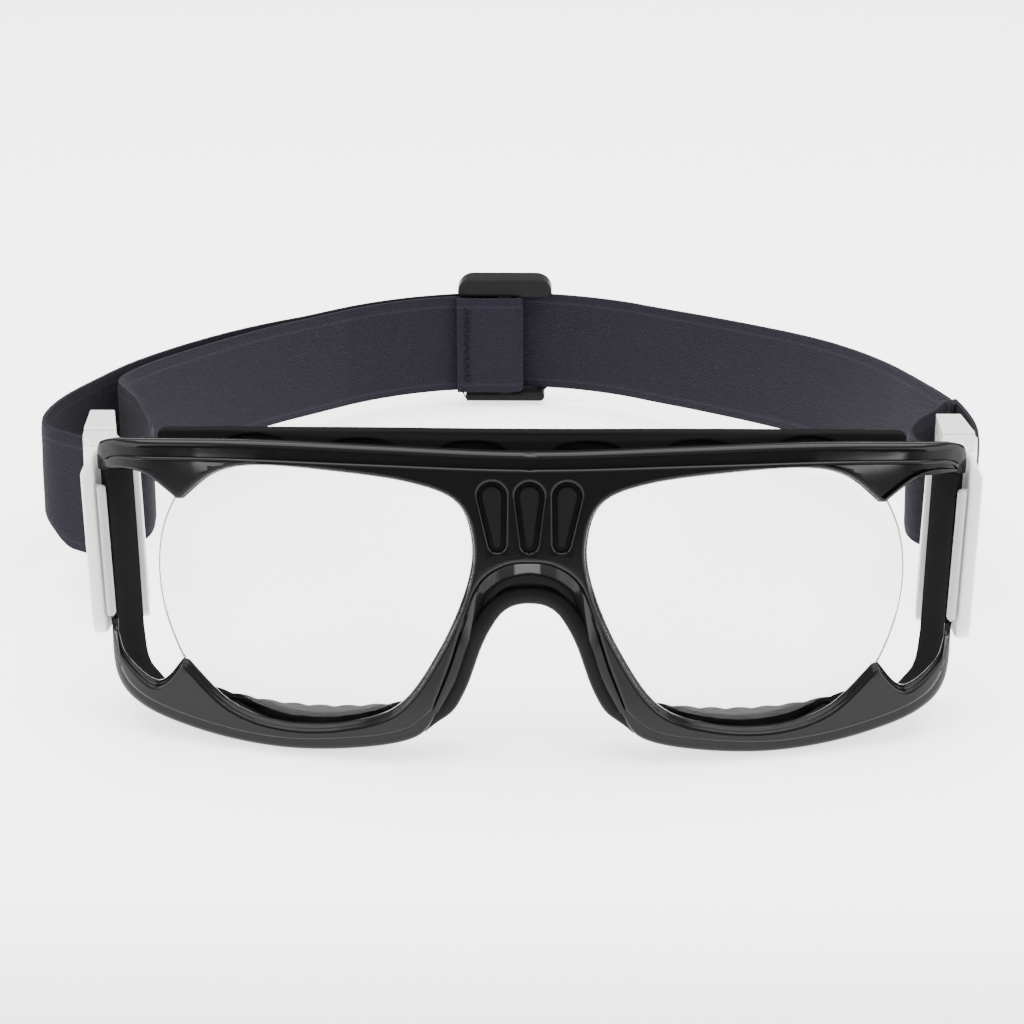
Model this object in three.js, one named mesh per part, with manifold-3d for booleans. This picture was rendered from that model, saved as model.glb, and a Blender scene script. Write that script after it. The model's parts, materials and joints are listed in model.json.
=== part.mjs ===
// Sports protective goggles on an elastic strap.
// Millimetres. X runs to the right, Y from the front of the frame to the back of the head, Z up.
// The frame group leans back by LEAN, so its pieces are drawn in the group's own upright coordinates:
// x across, y depth behind the bridge, z height above the lower rim.
import * as THREE from "three";
import { mergeVertices } from "three/addons/utils/BufferGeometryUtils.js";
import Module from "manifold-3d";

const wasm = await Module();
wasm.setup();

// ---------- driving dimensions ----------
const LEAN = THREE.MathUtils.degToRad(8);
const LIFT = 0.1; // brings the lowest point of the leaning rim to Z = 0
const WRAP = 0.0023; // the front face lies at y = WRAP * x^2
const NARROW = 0.00115; // the sides close towards the rear by this share per mm of depth
const DEPTH_MID = 7;
const DEPTH_SIDE = 18;
const SIDE_X = 79.9; // outer face of the side walls
const WALL = 1.6;
const FACE = 3; // thickness of the front face, ahead of the lens pocket
const STEP = 0.9; // how far the face stands out from the stepped edge
const LENS_T = 2;
const FIT = 0.35; // gap between neighbouring pieces
const REFINE = 10; // longest edge before a piece is bent round the wrap
const SMOOTH = 0.04; // how far the bent surface may be simplified

const BEAD_X = 79.1; // the clip's front bead, which is its pivot
const BEAD_Y = 15.7;
const BEAD_R = 1.15;
const BEAD_Z = [24.6, 49.8];
const SLOT_Z = [21.5, 53.4];
const CLIP_Z = [18.5, 50.9]; // the rear arm of the clip
const RAIL = 2.6; // above and below the strap slot

const WEB_H = 25; // webbing width
const WEB_T = 1.3;
const ARC_R = 67; // the strap's curve at the back of the head
const ARC_X = -9;
const ARC_Y = 137.5;
const ARC_FROM = -38; // degrees, left end and right end of that curve
const ARC_TO = 34;
const BACK_Z = 16.7; // mid-height of the strap and the slider at the back
const LAYER = 2.1; // from the outer layer to the inner layer

const BUCKLE_W = 24;
const BUCKLE_H = 2 * BACK_Z;
const BUCKLE_BAR = 3.8;

// ---------- materials ----------
const paint = (color, roughness, more = {}) =>
  new THREE.MeshStandardMaterial({ color, roughness, metalness: 0, ...more });
const GLOSS_BLACK = paint(0x0d0d0f, 0.12);
const SOFT_BLACK = paint(0x101012, 0.45);
const SATIN_BLACK = paint(0x17171a, 0.35);
const MILKY = paint(0xe6e5e2, 0.35);
const CLEAR = paint(0xeeedeb, 0.05, { transparent: true, opacity: 0.35 });
const WEBBING = paint(0x38343e, 0.9);
const THREAD = paint(0x2a2730, 0.8);

// ---------- helpers ----------
const vec = (x, y, z) => new THREE.Vector3(x, y, z);

// A closed geometry as a manifold-3d solid.
function solid(geometry) {
  const bare = geometry.clone();
  bare.deleteAttribute("normal");
  bare.deleteAttribute("uv");
  const merged = mergeVertices(bare, 1e-4);
  return new wasm.Manifold(
    new wasm.Mesh({
      numProp: 3,
      vertProperties: merged.attributes.position.array,
      triVerts: new Uint32Array(merged.index.array),
    }),
  );
}

// A manifold-3d solid as a named three.js mesh.
function node(name, made, material) {
  const mesh = made.getMesh();
  const geometry = new THREE.BufferGeometry();
  geometry.setAttribute("position", new THREE.BufferAttribute(mesh.vertProperties, 3));
  geometry.setIndex(new THREE.BufferAttribute(mesh.triVerts, 1));
  geometry.computeVertexNormals();
  const out = new THREE.Mesh(geometry, material);
  out.name = name;
  return out;
}

// Moves every vertex of a solid by a function of its position.
const warp = (made, move) => made.warp((v) => move(v));

// The mirror image of a solid on the other side of the X = 0 plane.
const mirrored = (made) => made.mirror([1, 0, 0]);

// An outline in x and z. Each stretch is a list of points; a stretch marked smooth is a spline.
function outline(stretches) {
  const shape = new THREE.Shape();
  shape.moveTo(...stretches[0].points[0]);
  for (const { points, smooth } of stretches) {
    if (smooth) shape.splineThru(points.slice(1).map(([x, z]) => new THREE.Vector2(x, z)));
    else points.slice(1).forEach(([x, z]) => shape.lineTo(x, z));
  }
  return shape;
}

// A slab with this outline, from depth y0 to depth y1.
function slab(shape, y0, y1, curveSegments = 5) {
  const geometry = new THREE.ExtrudeGeometry(shape, {
    depth: y1 - y0,
    bevelEnabled: false,
    curveSegments,
  });
  geometry.rotateX(Math.PI / 2);
  geometry.translate(0, y1, 0);
  return solid(geometry);
}

function box(x0, x1, y0, y1, z0, z1) {
  const geometry = new THREE.BoxGeometry(x1 - x0, y1 - y0, z1 - z0);
  geometry.translate((x0 + x1) / 2, (y0 + y1) / 2, (z0 + z1) / 2);
  return solid(geometry);
}

function rod(x, y, z0, z1, r, sides = 16) {
  const geometry = new THREE.CylinderGeometry(r, r, z1 - z0, sides);
  geometry.rotateX(Math.PI / 2);
  geometry.translate(x, y, (z0 + z1) / 2);
  return solid(geometry);
}

// A solid swept through rings of equal length, all turning the same way.
function sweep(rings) {
  const n = rings[0].length;
  const points = rings.flat();
  const index = [];
  for (let i = 0; i + 1 < rings.length; i++) {
    for (let j = 0; j < n; j++) {
      const a = i * n + j;
      const b = i * n + ((j + 1) % n);
      index.push(a, b, a + n, b, b + n, a + n);
    }
  }
  const last = (rings.length - 1) * n;
  for (let j = 1; j + 1 < n; j++) {
    index.push(0, j + 1, j);
    index.push(last, last + j, last + j + 1);
  }
  const geometry = new THREE.BufferGeometry().setFromPoints(points);
  geometry.setIndex(index);
  const made = solid(geometry);
  return made.volume() > 0 ? made : solid(geometry.setIndex(index.reverse()));
}

// ---------- the wrap of the frame ----------
const depthAt = (x) => DEPTH_MID + (DEPTH_SIDE - DEPTH_MID) * (Math.abs(x) / SIDE_X) ** 6;

// Bends a flat piece round the wrap; its y is the depth behind the front face.
function wrapped(made, deepen = (x, d) => d) {
  return warp(made.refineToLength(REFINE), (v) => {
    const depth = deepen(v[0], v[1]);
    v[1] = WRAP * v[0] ** 2 + depth;
    v[0] *= 1 - NARROW * depth;
  }).simplify(SMOOTH);
}

// ---------- front frame ----------
const RIM_LOW = [
  [SIDE_X, 24], [78.6, 13], [73, 7.4], [61, 3.5], [46, 1.8], [31, 3.3], [21, 6.2], [16.8, 10.5],
];
const NOSE_LEG = [[16.8, 10.5], [13.6, 16.5], [11.4, 23], [8.9, 28.8], [5.2, 33.6], [0, 35.2]];
const BROW_TOP = [[0, 59.8], [28, 60.4], [52, 60.4], [76, 59]];
const BROW_END = [[76, 59], [79, 58.2], [SIDE_X, 56], [SIDE_X, 24]];

const flip = (points) => points.map(([x, z]) => [-x, z]);
const turned = (points) => [...points].reverse();

function frameOutline() {
  return outline([
    { points: BROW_TOP, smooth: true },
    { points: BROW_END },
    { points: RIM_LOW, smooth: true },
    { points: NOSE_LEG, smooth: true },
    { points: turned(flip(NOSE_LEG)), smooth: true },
    { points: turned(flip(RIM_LOW)), smooth: true },
    { points: turned(flip(BROW_END)) },
    { points: turned(flip(BROW_TOP)), smooth: true },
  ]);
}

// The opening seen from the front: the lens window with the side gap beyond the two pointed tabs.
function windowOutline() {
  const inner = SIDE_X - WALL;
  const top = [[10.6, 43], [13.4, 50.8], [22, 53.8], [36, 55.4], [50, 55.8], [58, 53.8], [64.2, 48.6]];
  const low = [
    [64.2, 17.3], [56, 9.7], [46, 6.8], [34, 7.6], [24, 11.6], [16.4, 22.8], [11.6, 36], [10.6, 43],
  ];
  return outline([
    { points: top, smooth: true },
    { points: [[64.2, 48.6], [65.4, 48.5]] },
    { points: [[65.4, 48.5], [70.4, 53.2], [74, 54.2], [inner, 53.4]], smooth: true },
    { points: [[inner, 53.4], [inner, 21]] },
    { points: [[inner, 21], [76.4, 16.6], [70.2, 12.6], [65.4, 17.5]], smooth: true },
    { points: [[65.4, 17.5], [64.2, 17.3]] },
    { points: low, smooth: true },
  ]);
}

const LENS_EDGE = [
  [9.4, 43], [11.6, 51.4], [20, 55], [34, 56.7], [50, 57.2], [61, 53.4], [66.7, 44], [68.3, 33.5],
  [66.7, 23], [61, 12.4], [52, 6.5], [42, 5.4], [30, 7.3], [21.4, 12], [14.8, 23], [10.5, 35.5], [9.4, 43],
];

// The space behind the face: the lens pocket joined with the side gap.
function pocketOutline() {
  const inner = SIDE_X - WALL;
  const low = [[56, 8], [50, 5.5], [42, 5], [30, 6.9], [21.1, 11.6], [14.4, 22.8], [10.1, 35.5], [9, 43]];
  return outline([
    { points: [[9, 43], [11.2, 51.7], [20, 55.4], [34, 57.1], [50, 57.6], [60, 56.4]], smooth: true },
    { points: [[60, 56.4], [72, 55.6], [inner, 54.2]] },
    { points: [[inner, 54.2], [inner, 20], [75.6, 14], [69, 10], [61, 8.2], [56, 8]] },
    { points: low, smooth: true },
  ]);
}

// The wall's depth past the face, stretched so that it ends at depthAt.
const wallDepth = (x, d) => FACE - 0.5 + (d / 10) * (depthAt(x) - FACE + 0.5);

function teardrop(x, lean, grow = 0) {
  const top = [x, 54.6 + grow];
  const shape = new THREE.Shape();
  const w = 2.5 + grow;
  shape.moveTo(...top);
  shape.bezierCurveTo(x + w * 1.5, top[1], x + w + lean * 0.4, 46, x + lean, 41 - grow);
  shape.bezierCurveTo(x - w + lean * 0.4, 46, x - w * 1.5, top[1], ...top);
  return shape;
}
const DROPS = { left: [-6.6, 1.5], middle: [0, 0], right: [6.6, -1.5] };
const DROP_FLOOR = 0.1; // depth of the recess floor

function frontFrame() {
  const base = slab(frameOutline(), 0, FACE);
  const raised = slab(faceOutline(), -STEP, 0.5);
  const window = slab(windowOutline(), -2, FACE + 1);
  const face = (made) => made.subtract(window).subtract(mirrored(window));
  let front = face(raised);
  for (const [x, lean] of Object.values(DROPS)) {
    front = front.subtract(slab(teardrop(x, lean), -2, DROP_FLOOR, 4));
  }
  let wall = slab(frameOutline(), 0, 10);
  const pocket = slab(pocketOutline(), -1, 11);
  wall = wall.subtract(pocket).subtract(mirrored(pocket));
  const made = wrapped(face(base)).add(wrapped(front)).add(wrapped(wall, wallDepth));
  const slot = box(77, 82, 10, 17.4, ...SLOT_Z);
  return made.subtract(slot).subtract(mirrored(slot)).subtract(noseSaddle(FIT)).simplify(SMOOTH);
}

// The raised face inside the stepped edge that runs all round the frame.
function faceOutline() {
  const brow = [[0, 57], [28, 57.4], [52, 57.3], [70, 56], [77, 54]];
  const rim = [
    [78, 24], [76.4, 14.4], [71.6, 9.8], [60.4, 5.9], [46, 4.1], [31, 5.6], [22.5, 7.8], [17.9, 11.2],
  ];
  const leg = [[17.9, 11.2], [14, 20.3], [11.4, 28.5], [8.8, 35.6], [4.6, 39.1], [0, 39.8]];
  return outline([
    { points: brow, smooth: true },
    { points: [[77, 54], [78, 50], [78, 24]] },
    { points: rim, smooth: true },
    { points: leg, smooth: true },
    { points: turned(flip(leg)), smooth: true },
    { points: turned(flip(rim)), smooth: true },
    { points: [[-78, 24], [-78, 50], [-77, 54]] },
    { points: turned(flip(brow)), smooth: true },
  ]);
}

function lens() {
  const shape = outline([{ points: LENS_EDGE, smooth: true }]);
  return wrapped(slab(shape, FACE + FIT, FACE + FIT + LENS_T));
}

function inlay(x, lean) {
  const shape = new THREE.Shape();
  shape.moveTo(x, 53.6);
  shape.bezierCurveTo(x + 2.6, 53.6, x + 1.8 + lean * 0.4, 46, x + lean * 0.85, 42.4);
  shape.bezierCurveTo(x - 1.8 + lean * 0.4, 46, x - 2.6, 53.6, x, 53.6);
  return wrapped(slab(shape, -STEP + 0.2, DROP_FLOOR - 0.25, 4));
}

// ---------- soft linings ----------
// The brow liner stands up behind the brow bar, with arched vents cut in its lower edge.
function browLiner() {
  const END = 71;
  const top = [[0, 62], [30, 61.8], [55, 61.3], [END - 3, 60.9]];
  const shape = outline([
    { points: top, smooth: true },
    { points: [[END - 3, 60.9], [END, 60], [END, 58.2]] },
    { points: [[END, 58.2], [40, 58.6], [0, 58.4], [-40, 58.6], [-END, 58.2]], smooth: true },
    { points: [[-END, 58.2], [-END, 60], [3 - END, 60.9]] },
    { points: turned(flip(top)), smooth: true },
  ]);
  const vents = [-52, -31, -10.5, 10.5, 31, 52].map((x) => ventCutter(x));
  const strip = vents.reduce((made, cut) => made.subtract(cut), slab(shape, 0, 10));
  return wrapped(strip, (x, d) => depthAt(x) + FIT + (d / 10) * 3.4);
}

function ventCutter(x) {
  const shape = new THREE.Shape();
  shape.moveTo(x - 6, 57);
  shape.lineTo(x - 6, 58.6);
  shape.quadraticCurveTo(x, 61.2, x + 6, 58.6);
  shape.lineTo(x + 6, 57);
  shape.closePath();
  return slab(shape, -1, 11, 4);
}

// The cheek liner follows the rear of the lower rim; its upper edge is scalloped.
function cheekLiner() {
  const waves = 9;
  const upper = [];
  for (let i = 0; i <= waves * 4; i++) {
    const t = i / (waves * 4);
    const x = THREE.MathUtils.lerp(68, 22, t);
    const sag = 7.7 + 0.0042 * (x - 44) ** 2;
    upper.push([x, sag + 0.35 * Math.cos(t * waves * 2 * Math.PI)]);
  }
  const lower = [[22, 7], [31, 4.4], [46, 3], [60, 4.6], [68, 7]];
  const shape = outline([
    { points: upper },
    { points: [upper.at(-1), lower[0]] },
    { points: lower, smooth: true },
  ]);
  return wrapped(slab(shape, 0, 10), (x, d) => depthAt(x) + FIT + (d / 10) * 2.6);
}

// The nose saddle lines the nose arch: a strip with rounded ends, bent over the bridge.
function noseSaddle(grow = 0) {
  const half = [[15.1, 11.6], [12.1, 17.5], [9.8, 23.4], [7.6, 27.8], [4.5, 31.7], [0, 33.3]];
  const points = [...half, ...turned(flip(half)).slice(1)].map(([x, z]) => vec(x, 0, z));
  const curve = new THREE.CatmullRomCurve3(points);
  const rings = [];
  const steps = 40;
  for (let i = 0; i <= steps; i++) {
    const t = i / steps;
    const at = curve.getPointAt(t);
    const along = curve.getTangentAt(t);
    const out = vec(-along.z, 0, along.x); // towards the frame
    const edge = Math.min(t, 1 - t) * 2;
    const half = 1.15 * Math.min(1, 0.45 + 3 * edge) + grow;
    const y0 = 0.7 - grow;
    const y1 = 12 + grow;
    const corner = (s, y) => vec(at.x + out.x * s, y + WRAP * at.x ** 2, at.z + out.z * s);
    const inner = -half * 0.9;
    const outer = half;
    rings.push([
      corner(outer, y0), corner(outer, y1), corner(inner + 0.8, y1), corner(inner, y1 - 1.6),
      corner(inner, y0 + 1.2), corner(inner + 0.6, y0 + 0.2),
    ]);
  }
  return sweep(rings);
}

// ---------- side clip ----------
// A plan outline in x and y, raised from z0 to z1.
function raised(points, z0, z1) {
  const shape = new THREE.Shape(points.map(([x, y]) => new THREE.Vector2(x, y)));
  const geometry = new THREE.ExtrudeGeometry(shape, { depth: z1 - z0, bevelEnabled: false });
  geometry.translate(0, 0, z0);
  return solid(geometry);
}

// Right-hand clip: front bead, outer plate, web behind the wall, and an arm with the strap slot.
function sideClip() {
  const plate = raised([[80.4, 14.6], [83, 16], [83, 34.5], [84.6, 41], [81, 41], [80.1, 33]], 20.5, 55.5);
  const corner = raised([[79, 30], [86, 30], [86, 42], [79, 42]], CLIP_Z[1] + 1, 60);
  const link = box(BEAD_X, 81.5, BEAD_Y - 0.7, BEAD_Y + 0.7, ...BEAD_Z);
  const bead = rod(BEAD_X, BEAD_Y, ...BEAD_Z, BEAD_R);
  const webPlan = [[75, 34.4], [83.6, 34.4], [84.6, 39.4], [75.6, 38.8]];
  const web = raised(webPlan, CLIP_Z[0] + 1, CLIP_Z[1] + 0.6);
  const armPlan = [[75.6, 37], [83.8, 37], [90, 55.5], [92.3, 77.6], [87, 77.6], [82.8, 55.5]];
  const arm = raised(armPlan, ...CLIP_Z);
  const slot = box(80, 95, 58, 72.8, CLIP_Z[0] + RAIL, CLIP_Z[1] - RAIL);
  const dip = box(80, 95, 58, 72.8, CLIP_Z[1] - 0.6, CLIP_Z[1] + 1);
  const joined = [link, bead, web, arm].reduce((made, piece) => made.add(piece), plate.subtract(corner));
  return joined.subtract(slot).subtract(dip);
}

// ---------- strap ----------
// A flat webbing along a list of [x, y, mid-height] points; its width leans from the clips' 8 degrees
// to upright at the back.
const leanAt = (y) => LEAN * THREE.MathUtils.clamp(1 - (y - 85) / 70, 0, 1);

function webbing(points, steps, { from = 0, to = 1, lean = leanAt, width = WEB_H, thick = WEB_T } = {}) {
  const curve = new THREE.CatmullRomCurve3(points.map((p) => vec(...p)), false, "centripetal");
  const rings = [];
  for (let i = 0; i <= steps; i++) {
    const t = from + ((to - from) * i) / steps;
    const at = curve.getPointAt(t);
    const along = curve.getTangentAt(t).setZ(0).normalize();
    const side = vec(-along.y, along.x, 0).multiplyScalar(thick / 2);
    const up = vec(0, Math.sin(lean(at.y)), Math.cos(lean(at.y))).multiplyScalar(width / 2);
    rings.push([
      at.clone().add(side).add(up), at.clone().sub(side).add(up),
      at.clone().sub(side).sub(up), at.clone().add(side).sub(up),
    ]);
  }
  return sweep(rings);
}

const onArc = (degrees, r) => {
  const a = THREE.MathUtils.degToRad(degrees);
  return [ARC_X + r * Math.sin(a), ARC_Y + r * Math.cos(a), BACK_Z];
};
const arc = (from, to, r, n) =>
  Array.from({ length: n + 1 }, (_, i) => onArc(from + ((to - from) * i) / n, r));

const RIGHT_SIDE = [
  [41.5, 184.5, 17], [53.5, 175, 17.6], [64, 164.5, 18.5], [72.5, 153, 19.5], [80.5, 137, 20.8],
  [87, 117, 22.4], [90.4, 106, 23.2],
];
const LEFT_OUTER = [
  [-58, 182.5, 17.2], [-67, 173.5, 18], [-75.5, 163.5, 18.8], [-84, 151, 19.8], [-93, 132, 21.4],
  [-97.6, 120, 22.4],
];
const LEFT_INNER = [
  [-56.2, 181.2, 17.2], [-64.8, 171.6, 18], [-73, 161, 18.8], [-81, 148.5, 19.8], [-89.4, 130.5, 21.4],
  [-93.6, 119, 22.4],
];
// The turn round the left clip's bar: outer layer in, through the slot, inner layer out.
const LEFT_TURN = [
  [-98, 118.6, 22.4], [-101.8, 103, 23.4], [-103.4, 90, 24], [-102, 81.6, 24], [-96, 77.2, 24],
  [-88.6, 73.4, 24], [-82.6, 71.8, 24], [-79.4, 75, 24], [-79.6, 82, 24], [-83.2, 92, 24],
  [-88.6, 103, 23.6], [-93.2, 117.6, 22.5],
];
// The sewn loop round the right clip's bar.
const RIGHT_LOOP = [
  [91.6, 104.4, 23.4], [93.2, 95, 24], [94.4, 86, 24], [93.8, 78.4, 24], [90, 74, 24], [84.6, 72.4, 24],
  [79.4, 74, 24], [78.2, 80, 24], [81.6, 87.6, 24], [86.4, 94.4, 24], [89.2, 103.6, 23.4],
];

const strapMain = () =>
  webbing([...turned(RIGHT_SIDE), ...arc(ARC_TO, ARC_FROM, ARC_R, 10), ...LEFT_OUTER], 52);
const strapTakeUp = () =>
  webbing([onArc(ARC_FROM, ARC_R - LAYER), ...LEFT_INNER], 14, { from: 0.01 });
const strapSlack = () =>
  webbing(arc(-15.2, ARC_FROM, ARC_R - LAYER, 6), 8, { to: 0.995 });

// ---------- slider, drawn at the middle of the curve and turned onto it by its group ----------
function slider() {
  const h = BUCKLE_H / 2;
  const w = BUCKLE_W / 2;
  const rail = BUCKLE_H / 2 - WEB_H / 2 - 0.9;
  const z = BACK_Z;
  const made = roundedRail(w, z - h, z - h + rail).add(roundedRail(w, z + h - rail, z + h));
  const post = (x0, x1, y0, y1) => box(x0, x1, y0, y1, z - h + 1, z + h - 1);
  const front = -4.4;
  return made
    .add(post(-w, -w + BUCKLE_BAR, 1.1, 2.9))
    .add(post(w - BUCKLE_BAR, w, 1.1, 2.9))
    .add(post(-BUCKLE_BAR / 2, BUCKLE_BAR / 2, front + 0.3, front + 1.7));
}

// A rail of the slider, with its four upright edges rounded.
function roundedRail(w, z0, z1) {
  const [y0, y1, r] = [-4.4, 2.9, 2.4];
  const shape = new THREE.Shape();
  shape.moveTo(-w + r, y0);
  shape.lineTo(w - r, y0);
  shape.absarc(w - r, y0 + r, r, -Math.PI / 2, 0);
  shape.absarc(w - r, y1 - r, r, 0, Math.PI / 2);
  shape.absarc(-w + r, y1 - r, r, Math.PI / 2, Math.PI);
  shape.absarc(-w + r, y0 + r, r, Math.PI, Math.PI * 1.5);
  const options = { depth: z1 - z0, bevelEnabled: false, curveSegments: 4 };
  const geometry = new THREE.ExtrudeGeometry(shape, options);
  geometry.translate(0, 0, z0);
  return solid(geometry);
}

// The strap end: in from the left, round the centre bar, and back over itself as a sewn flap.
function sliderLoop() {
  return webbing(
    [
      [-16.2, -4.1], [-12, -3.35], [-7, -2.25], [-2.6, -1.65], [1.5, -1.65], [3.4, -2.1], [4.1, -3.35],
      [3.4, -4.6], [1.5, -5.1], [-3, -5.2], [-8, -5.25], [-12.2, -5.3],
    ].map(([x, y]) => [x, y, BACK_Z]),
    30,
    { lean: () => 0 },
  );
}

// The bar tacks: rows of stitching across the webbing.
const sliderTack = () => box(-10.2, -8.8, -6.55, -6.2, BACK_Z - 10, BACK_Z + 10);
const loopTack = () =>
  webbing([[94.15, 98.6, 24], [94.35, 96.8, 24]], 1, { width: 19, thick: 0.35 });

// ---------- assembly ----------
function place(group, name, made, material) {
  group.add(node(name, made, material));
}

function frameGroup() {
  const group = new THREE.Group();
  place(group, "front_frame", frontFrame(), GLOSS_BLACK);
  place(group, "brow_liner", browLiner(), SOFT_BLACK);
  place(group, "nose_saddle", noseSaddle(), SOFT_BLACK);
  for (const [side, [x, lean]] of Object.entries(DROPS)) {
    place(group, "bridge_inlay_" + side, inlay(x, lean), SOFT_BLACK);
  }
  for (const [side, hand] of [["left", mirrored], ["right", (made) => made]]) {
    place(group, "lens_" + side, hand(lens()), CLEAR);
    place(group, "cheek_liner_" + side, hand(cheekLiner()), SOFT_BLACK);
    place(group, "side_clip_" + side, hand(sideClip()), MILKY);
  }
  group.rotation.x = -LEAN;
  group.position.z = LIFT;
  return group;
}

function strapGroup() {
  const group = new THREE.Group();
  place(group, "strap_main", strapMain(), WEBBING);
  place(group, "strap_take_up", strapTakeUp(), WEBBING);
  place(group, "strap_slack", strapSlack(), WEBBING);
  place(group, "strap_turn_left", webbing(LEFT_TURN, 36), WEBBING);
  place(group, "strap_loop_right", webbing(RIGHT_LOOP, 32), WEBBING);
  place(group, "loop_tack_right", loopTack(), THREAD);
  return group;
}

function sliderGroup() {
  const group = new THREE.Group();
  place(group, "slider", slider(), SATIN_BLACK);
  place(group, "strap_end_loop", sliderLoop(), WEBBING);
  place(group, "slider_tack", sliderTack(), THREAD);
  group.position.set(ARC_X, ARC_Y + ARC_R, 0);
  return group;
}

// The part's origin is the middle of its footprint.
const goggles = new THREE.Group().add(frameGroup(), strapGroup(), sliderGroup());
const extent = new THREE.Box3().setFromObject(goggles, true);
const middle = extent.getCenter(vec(0, 0, 0));
goggles.position.set(-middle.x, -middle.y, -extent.min.z);
export default goggles;
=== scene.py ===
"""Sports protective goggles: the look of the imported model.

Lengths below are in millimetres and become metres in `row` and `leaned`.
u, v and w are a plate's own axes: across, up, and through its thickness.
"""

import json
import math

import bmesh
import bpy
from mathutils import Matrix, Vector


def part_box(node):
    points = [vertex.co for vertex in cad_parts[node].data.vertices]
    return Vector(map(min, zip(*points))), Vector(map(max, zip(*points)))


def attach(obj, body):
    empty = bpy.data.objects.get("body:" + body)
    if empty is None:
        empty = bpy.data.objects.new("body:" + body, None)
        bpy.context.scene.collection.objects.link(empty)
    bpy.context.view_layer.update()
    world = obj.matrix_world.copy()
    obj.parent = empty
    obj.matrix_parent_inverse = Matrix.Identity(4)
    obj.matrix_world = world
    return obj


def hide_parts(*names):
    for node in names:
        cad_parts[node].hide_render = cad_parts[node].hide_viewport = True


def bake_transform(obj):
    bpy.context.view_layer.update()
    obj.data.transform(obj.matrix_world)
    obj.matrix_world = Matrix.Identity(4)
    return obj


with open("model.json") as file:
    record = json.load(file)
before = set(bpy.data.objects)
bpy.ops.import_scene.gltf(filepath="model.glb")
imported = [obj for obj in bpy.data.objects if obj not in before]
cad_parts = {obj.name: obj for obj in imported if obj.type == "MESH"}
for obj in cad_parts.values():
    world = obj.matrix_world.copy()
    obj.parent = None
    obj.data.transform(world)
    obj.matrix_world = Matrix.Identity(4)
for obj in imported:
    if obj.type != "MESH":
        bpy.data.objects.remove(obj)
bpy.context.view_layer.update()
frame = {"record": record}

# ---------- sizes shared with the CAD, in millimetres ----------
MM = 0.001
LEAN = math.radians(8)
LIFT = 0.1
WRAP = 0.0023
NARROW = 0.00115
DEPTH_MID, DEPTH_SIDE = 7, 18
SIDE_X = 79.9
WALL = 1.6
FACE = 3
STEP = 0.9
LENS_FRONT, LENS_T = 3.35, 2.0
SLOT_Z = (21.5, 53.4)
BEAD = (79.1, 15.7)
BEAD_R = 1.15
BEAD_Z = (24.6, 49.8)
CLIP_Z = (18.5, 50.9)
WEB_H, WEB_T = 25, 1.3
ARC_R = 67
ARC_X, ARC_Y = -9, 137.5
ARC_FROM, ARC_TO = -38, 34
BACK_Z = 16.7
LAYER = 2.1
BUCKLE_W, BUCKLE_BAR = 24, 3.8

# ---------- sizes of the visual pieces alone, in millimetres ----------
BUCKLE_LOW, BUCKLE_TOP = 1.2, 33.4
BUCKLE_FRONT, BUCKLE_REAR = -4.4, 2.9
LINER_END = 71
LINER_GAP = 0.35
FLAP_STITCH_X = -9.6
FLAP_FACE = 5.98
LOOP_STITCHES = (98.4, 96.4)
TACK_WIDTH, STITCH_REACH = 20, 0.7

# ---------- plain numbers ----------
STITCHES = 17  # in one row
FOCAL_SHARE = 2533 / 1024  # focal length over the view's width

# ---------- where the maker's axes lie in the row frame ----------
joints = {joint["name"]: joint for joint in frame["record"]["behaviour"]["joints"]}
frame_low, frame_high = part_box("front_frame")
ORIGIN = Vector((
    (frame_low[0] + frame_high[0]) / 2,
    joints["slider_travel"]["pos_m"][1] - ARC_Y * MM,
    0,
))


def row(x, y, z):
    """A point of the strap's upright axes in the row frame."""
    return ORIGIN + Vector((x, y, z)) * MM


def leaned(x, y, z):
    """A point of the leaning front in the row frame."""
    sin, cos = math.sin(LEAN), math.cos(LEAN)
    return row(x, y * cos + z * sin, z * cos - y * sin + LIFT)


def flare(x, z):
    """The sides lean outwards towards the brow."""
    return x + math.copysign(0.045 * (z - 22) * smooth(62, 78, abs(x)), x)


def wrapped(x, depth, z):
    """A point at a depth behind the curved face."""
    return leaned(flare(x, z) * (1 - NARROW * depth), WRAP * x * x + depth, z)


def depth_at(x):
    return DEPTH_MID + (DEPTH_SIDE - DEPTH_MID) * (abs(x) / SIDE_X) ** 6


def mix(a, b, t):
    return a + (b - a) * t


def smooth(a, b, x):
    t = min(1, max(0, (x - a) / (b - a)))
    return t * t * (3 - 2 * t)


# ---------- outlines ----------
def spline(points, per=8):
    """A Catmull-Rom curve through the points.

    An end on the middle line runs on smoothly into its mirror image.
    """
    out = []
    last = len(points) - 1
    before, after = points[0], points[-1]
    if len(before) == 2 and before[0] == 0:
        before = (-points[1][0], points[1][1])
    if len(after) == 2 and after[0] == 0:
        after = (-points[-2][0], points[-2][1])
    padded = [Vector(p) for p in (before, *points, after)]
    for i in range(last):
        p = padded[i:i + 4]
        for j in range(per):
            t = j / per
            out.append(0.5 * (
                2 * p[1] + (p[2] - p[0]) * t + (2 * p[0] - 5 * p[1] + 4 * p[2] - p[3]) * t**2
                + (3 * p[1] - p[0] - 3 * p[2] + p[3]) * t**3
            ))
    return out + [Vector(points[-1])]


def chain(*stretches):
    """Joins stretches of points end to end."""
    out = []
    for stretch in stretches:
        for point in map(Vector, stretch):
            if not out or (point - out[-1]).length > 1e-4:
                out.append(point)
    return out


def flip(points):
    return [Vector((-p[0], p[1])) for p in points]


def turned(points):
    return list(reversed(points))


def both_sides(right):
    """Closes an outline that is drawn from the top middle round the right side to the bottom middle."""
    return chain(right, turned(flip(right)))[:-1]


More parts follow.
